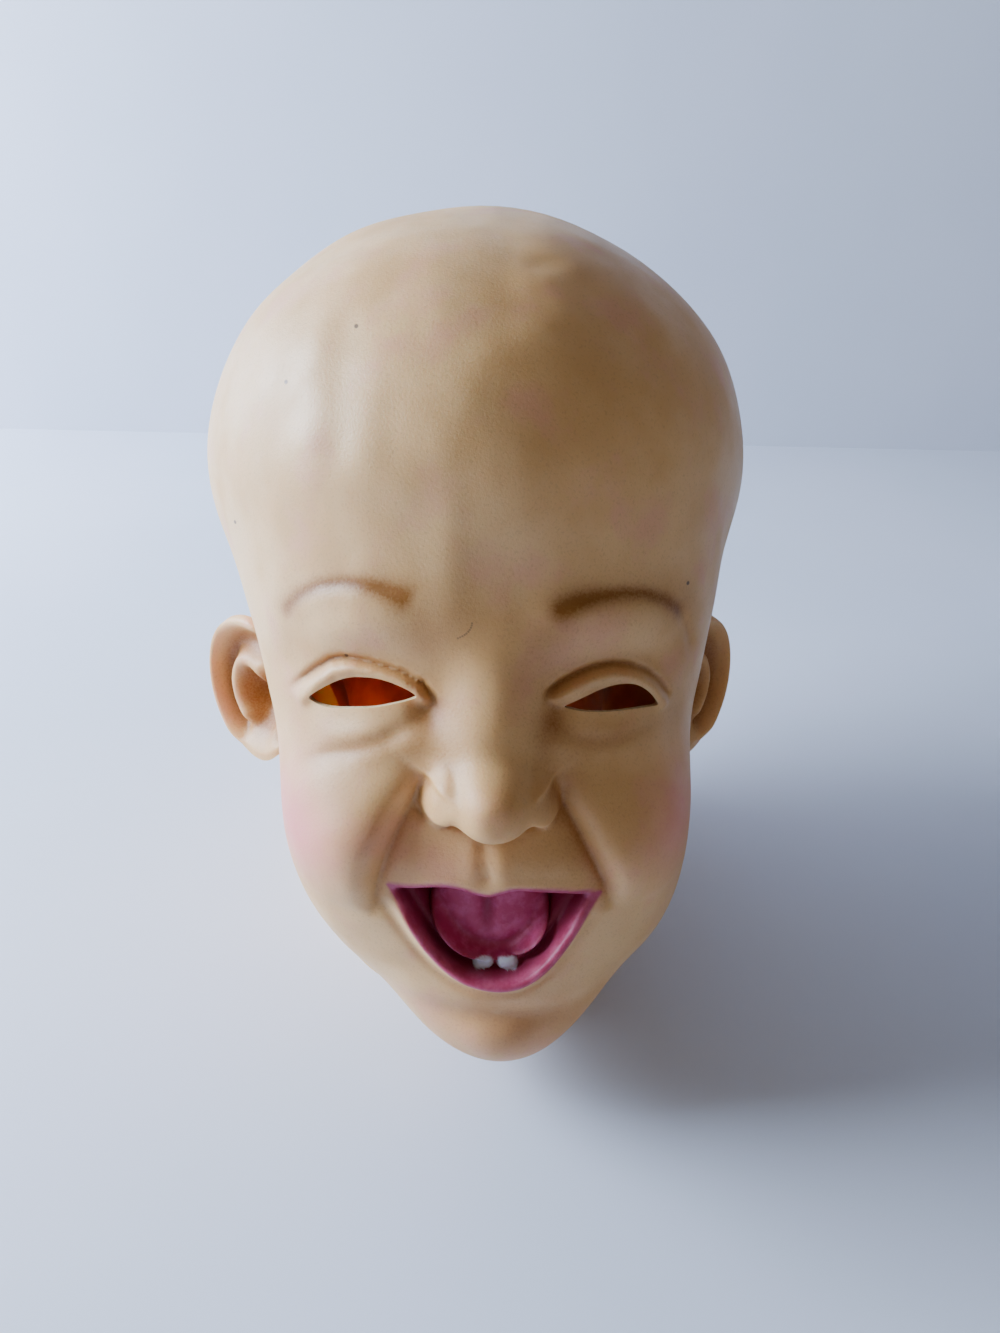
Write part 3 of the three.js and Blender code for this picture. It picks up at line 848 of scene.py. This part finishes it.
def inside_line(x, z, low_line, top_line, raised=0.0):
    """How far a place is inside the shape between two lines, less than zero outside it."""
    low = np.interp(x, *zip(*low_line), left=200, right=200)
    top = np.interp(x, *zip(*top_line)) + raised
    to_low, _ = line_distance(x, z, low_line)
    to_top = np.abs(top - z)
    inside = (z > low) & (z < top)
    nearest = np.minimum(to_low, to_top)
    return np.where(inside, nearest, -np.where(z > low, nearest, to_low))


def recess(x, z, reach):
    """How much deeper a place is than those round about."""
    here = face_relief(x, z)
    around = sum(face_relief(x + reach * math.cos(turn), z + reach * math.sin(turn))
                 for turn in np.arange(8) * math.pi / 4) / 8
    return here - around


def tooth_coat(x, z):
    coat = np.zeros(x.shape)
    for tooth_x, tooth_z in TEETH:
        coat = np.maximum(coat, smooth_step(1.2, 0.7, tooth_size(x - tooth_x, (z - tooth_z) * 1.1)))
    return coat


def brow_coat(x, z):
    """A thin brown arch, broader and stronger towards the nose, with a mist of spray round it."""
    coat = np.zeros(x.shape)
    for line, inner_end in ((LEFT_BROW, 1), (RIGHT_BROW, 0)):
        far, along = line_distance(x, z, line)
        to_inner = np.abs(along - inner_end)
        width = 2 + 1.6 * smooth_step(0.5, 0.05, to_inner)
        ends = smooth_step(0, 0.12, along) * smooth_step(1, 0.88, along)
        strength = 0.74 + 0.16 * smooth_step(0.6, 0.1, to_inner)
        coat = np.maximum(coat, (strength * bell(far / width) + 0.3 * bell(far / 6)) * ends)
    return coat


def face_shade(x, z):
    """Brown in the hollows, the creases and the inner sides of the folds: partly sprayed paint, partly
    painted shade.
    """
    # Painted shade: darker where a place lies deeper than the places round about.
    shade = 0.25 * smooth_step(0.25, 1.8, recess(x, z, 2.5))
    shade += 0.15 * smooth_step(0.2, 2.5, recess(x, z, 6))
    for line, strength in (
        (LEFT_CREASE, 0.11), (RIGHT_CREASE, 0.12), (LEFT_BAG, 0.15), (RIGHT_BAG, 0.15),
    ):
        shade += strength * (stroke(x, z, line, 2.2, 0.2) + stroke(x, z, line, 5.5, 0.2))
    # Painted shade on the muzzle side of each fold, stronger on the right fold, on the face's shaded
    # side.
    for line, strength in ((LEFT_FOLD, 0.25), (RIGHT_FOLD, 0.6)):
        outward, along = beside_fold(x, z, line)
        ends = smooth_step(0, 0.12, along) * smooth_step(1, 0.6, along)
        shade += strength * ends * smooth_step(1, -1, outward) * bell(outward / 4.5)
    return shade + swells(x, z, BROWN_COATS_AND_PAINTED_SHADE)


def ear_shade(points, side):
    """Brown in an ear's hollow and groove, on its front only: partly sprayed paint, partly painted shade.
    """
    out, up, height = ear_local(points, side)
    angle = np.degrees(np.arctan2(up, out)) % 360
    share = np.hypot(out, up) / ear_radius(angle)
    lift = height - ear_front(np.clip(share, 0, 1), angle) + ear_turn_in(share, angle)
    within = smooth_step(0.97, 0.85, share) * smooth_step(-16, -8, out - 0.2 * height)
    return 0.95 * within * smooth_step(3.5, -3, height) * smooth_step(3.5, 1.5, np.abs(lift))


def paint_masks(points):
    """The airbrushed coats, painted shade among them, as masks on the mask's points."""
    x, y, z = points.T
    front = smooth_step(70, 45, y)
    lip_area = smooth_step(-0.5, 0.7, inside_line(x, z, LIP_LOW, LIP_TOP, 1.7)) * front
    to_low, _ = line_distance(x, z, MOUTH_LOW)
    low = np.interp(x, *zip(*MOUTH_LOW), left=200, right=200)
    inward = np.where(z > low, to_low, -to_low)
    gum = 0.35 * bell((inward - 4.6) / 1.3) * smooth_step(62, 50, z)
    under_top = smooth_step(1.2, -0.6, z - np.interp(x, *zip(*LIP_TOP)))
    across, up = tongue_place(x, z)
    on_tongue = smooth_step(1.0, 0.85, np.sqrt(across * across + up * up))
    groove = 0.6 * bell((across + 0.05) / 0.1) * smooth_step(-0.7, 0, up)
    shade = face_shade(x, z) * front
    for side in (-1, 1):
        shade += ear_shade(points, side)
    return {
        "lip": np.clip(lip_area, 0, 1),
        "deep": (smooth_step(0.3, 1.6, inward) - gum) * under_top * lip_area,
        "tongue": on_tongue * (1 - groove) * lip_area * under_top,
        "tooth": tooth_coat(x, z) * front,
        "brow": brow_coat(x, z) * front,
        "blush": swells(x, z, PINK_COATS) * smooth_step(90, 60, y),
        "shade": np.clip(shade, 0, 1),
    }


final_places = np.empty(len(mask.data.vertices) * 3)
mask.data.vertices.foreach_get("co", final_places)
head_places = to_head(final_places.reshape(-1, 3))
head_place = mask.data.attributes.new("head place", "FLOAT_VECTOR", "POINT")
head_place.data.foreach_set("vector", head_places.astype(np.float32).ravel())
for mask_name, values in paint_masks(head_places).items():
    attribute = mask.data.attributes.new(mask_name, "FLOAT", "POINT")
    attribute.data.foreach_set("value", values.astype(np.float32))

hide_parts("mask")
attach(mask, "root")

# The stage is a pale table with a pale wall behind it, in metres.
WALL_AT = 0.652
WALL_TURN = math.radians(-3.2)
WALL_UNDER_FLOOR = 0.01
STAGE_SIZE = 3
floor = bmesh.new()
bmesh.ops.create_grid(floor, x_segments=1, y_segments=1, size=STAGE_SIZE)
wall = bmesh.ops.create_grid(floor, x_segments=1, y_segments=1, size=STAGE_SIZE)["verts"]
bmesh.ops.rotate(floor, verts=wall, cent=(0, 0, 0), matrix=Matrix.Rotation(math.pi / 2, 3, "X"))
bmesh.ops.rotate(floor, verts=wall, cent=(0, 0, 0), matrix=Matrix.Rotation(WALL_TURN, 3, "Z"))
bmesh.ops.translate(floor, verts=wall, vec=(0, WALL_AT, STAGE_SIZE - WALL_UNDER_FLOOR))
stage = mesh_object("floor", floor, (pale_floor(),))


def area_light(name, place, aim, size, power, tint):
    light = bpy.data.objects.new(name, bpy.data.lights.new(name, "AREA"))
    light.data.shape = "RECTANGLE"
    light.data.size, light.data.size_y = size
    light.data.energy = power
    light.data.color = tint
    light.location = place
    light.rotation_euler = (Vector(aim) - light.location).to_track_quat("-Z", "Y").to_euler()
    bpy.context.scene.collection.objects.link(light)


# A window to the left, a little cool, and the warmer light that the room throws back.
WINDOW_AT, WINDOW_AIM, WINDOW_SIZE = (-1.26, 0.2, 0.62), (0, 0, 0.12), (0.9, 0.7)
WINDOW_WATTS, WINDOW_TINT = 78, (0.66, 0.79, 1)
ROOM_TINT, ROOM_STRENGTH = (1, 0.89, 0.74, 1), 0.21
area_light("window light", WINDOW_AT, WINDOW_AIM, WINDOW_SIZE, WINDOW_WATTS, WINDOW_TINT)
world = bpy.data.worlds.new("room")
bpy.context.scene.world = world
world.use_nodes = True
room_light = world.node_tree.nodes["Background"]
room_light.inputs["Color"].default_value = ROOM_TINT
room_light.inputs["Strength"].default_value = ROOM_STRENGTH

# The camera looks down at the face from arm's length, as a phone does. It is set in the head's frame.
CAMERA_AT = (-14.2, -263.7, 194.1)
SENSOR_MM, LENS_MM = 36, 27.03
PITCH, YAW, ROLL = math.radians(12.6), math.radians(3.4), math.radians(0.41)
camera_turn = Matrix.Rotation(-LEAN, 4, "X") @ Matrix.Rotation(-YAW, 4, "Z")
camera_turn = camera_turn @ Matrix.Rotation(-PITCH, 4, "X")
camera_turn = camera_turn @ Matrix.Rotation(math.pi / 2, 4, "X") @ Matrix.Rotation(ROLL, 4, "Z")
camera = bpy.data.objects.new("camera", bpy.data.cameras.new("camera"))
camera.matrix_world = Matrix.Translation(to_floor(np.array([CAMERA_AT]))[0]) @ camera_turn
camera.data.sensor_width = SENSOR_MM
camera.data.lens = LENS_MM
bpy.context.scene.collection.objects.link(camera)
bpy.context.scene.camera = camera
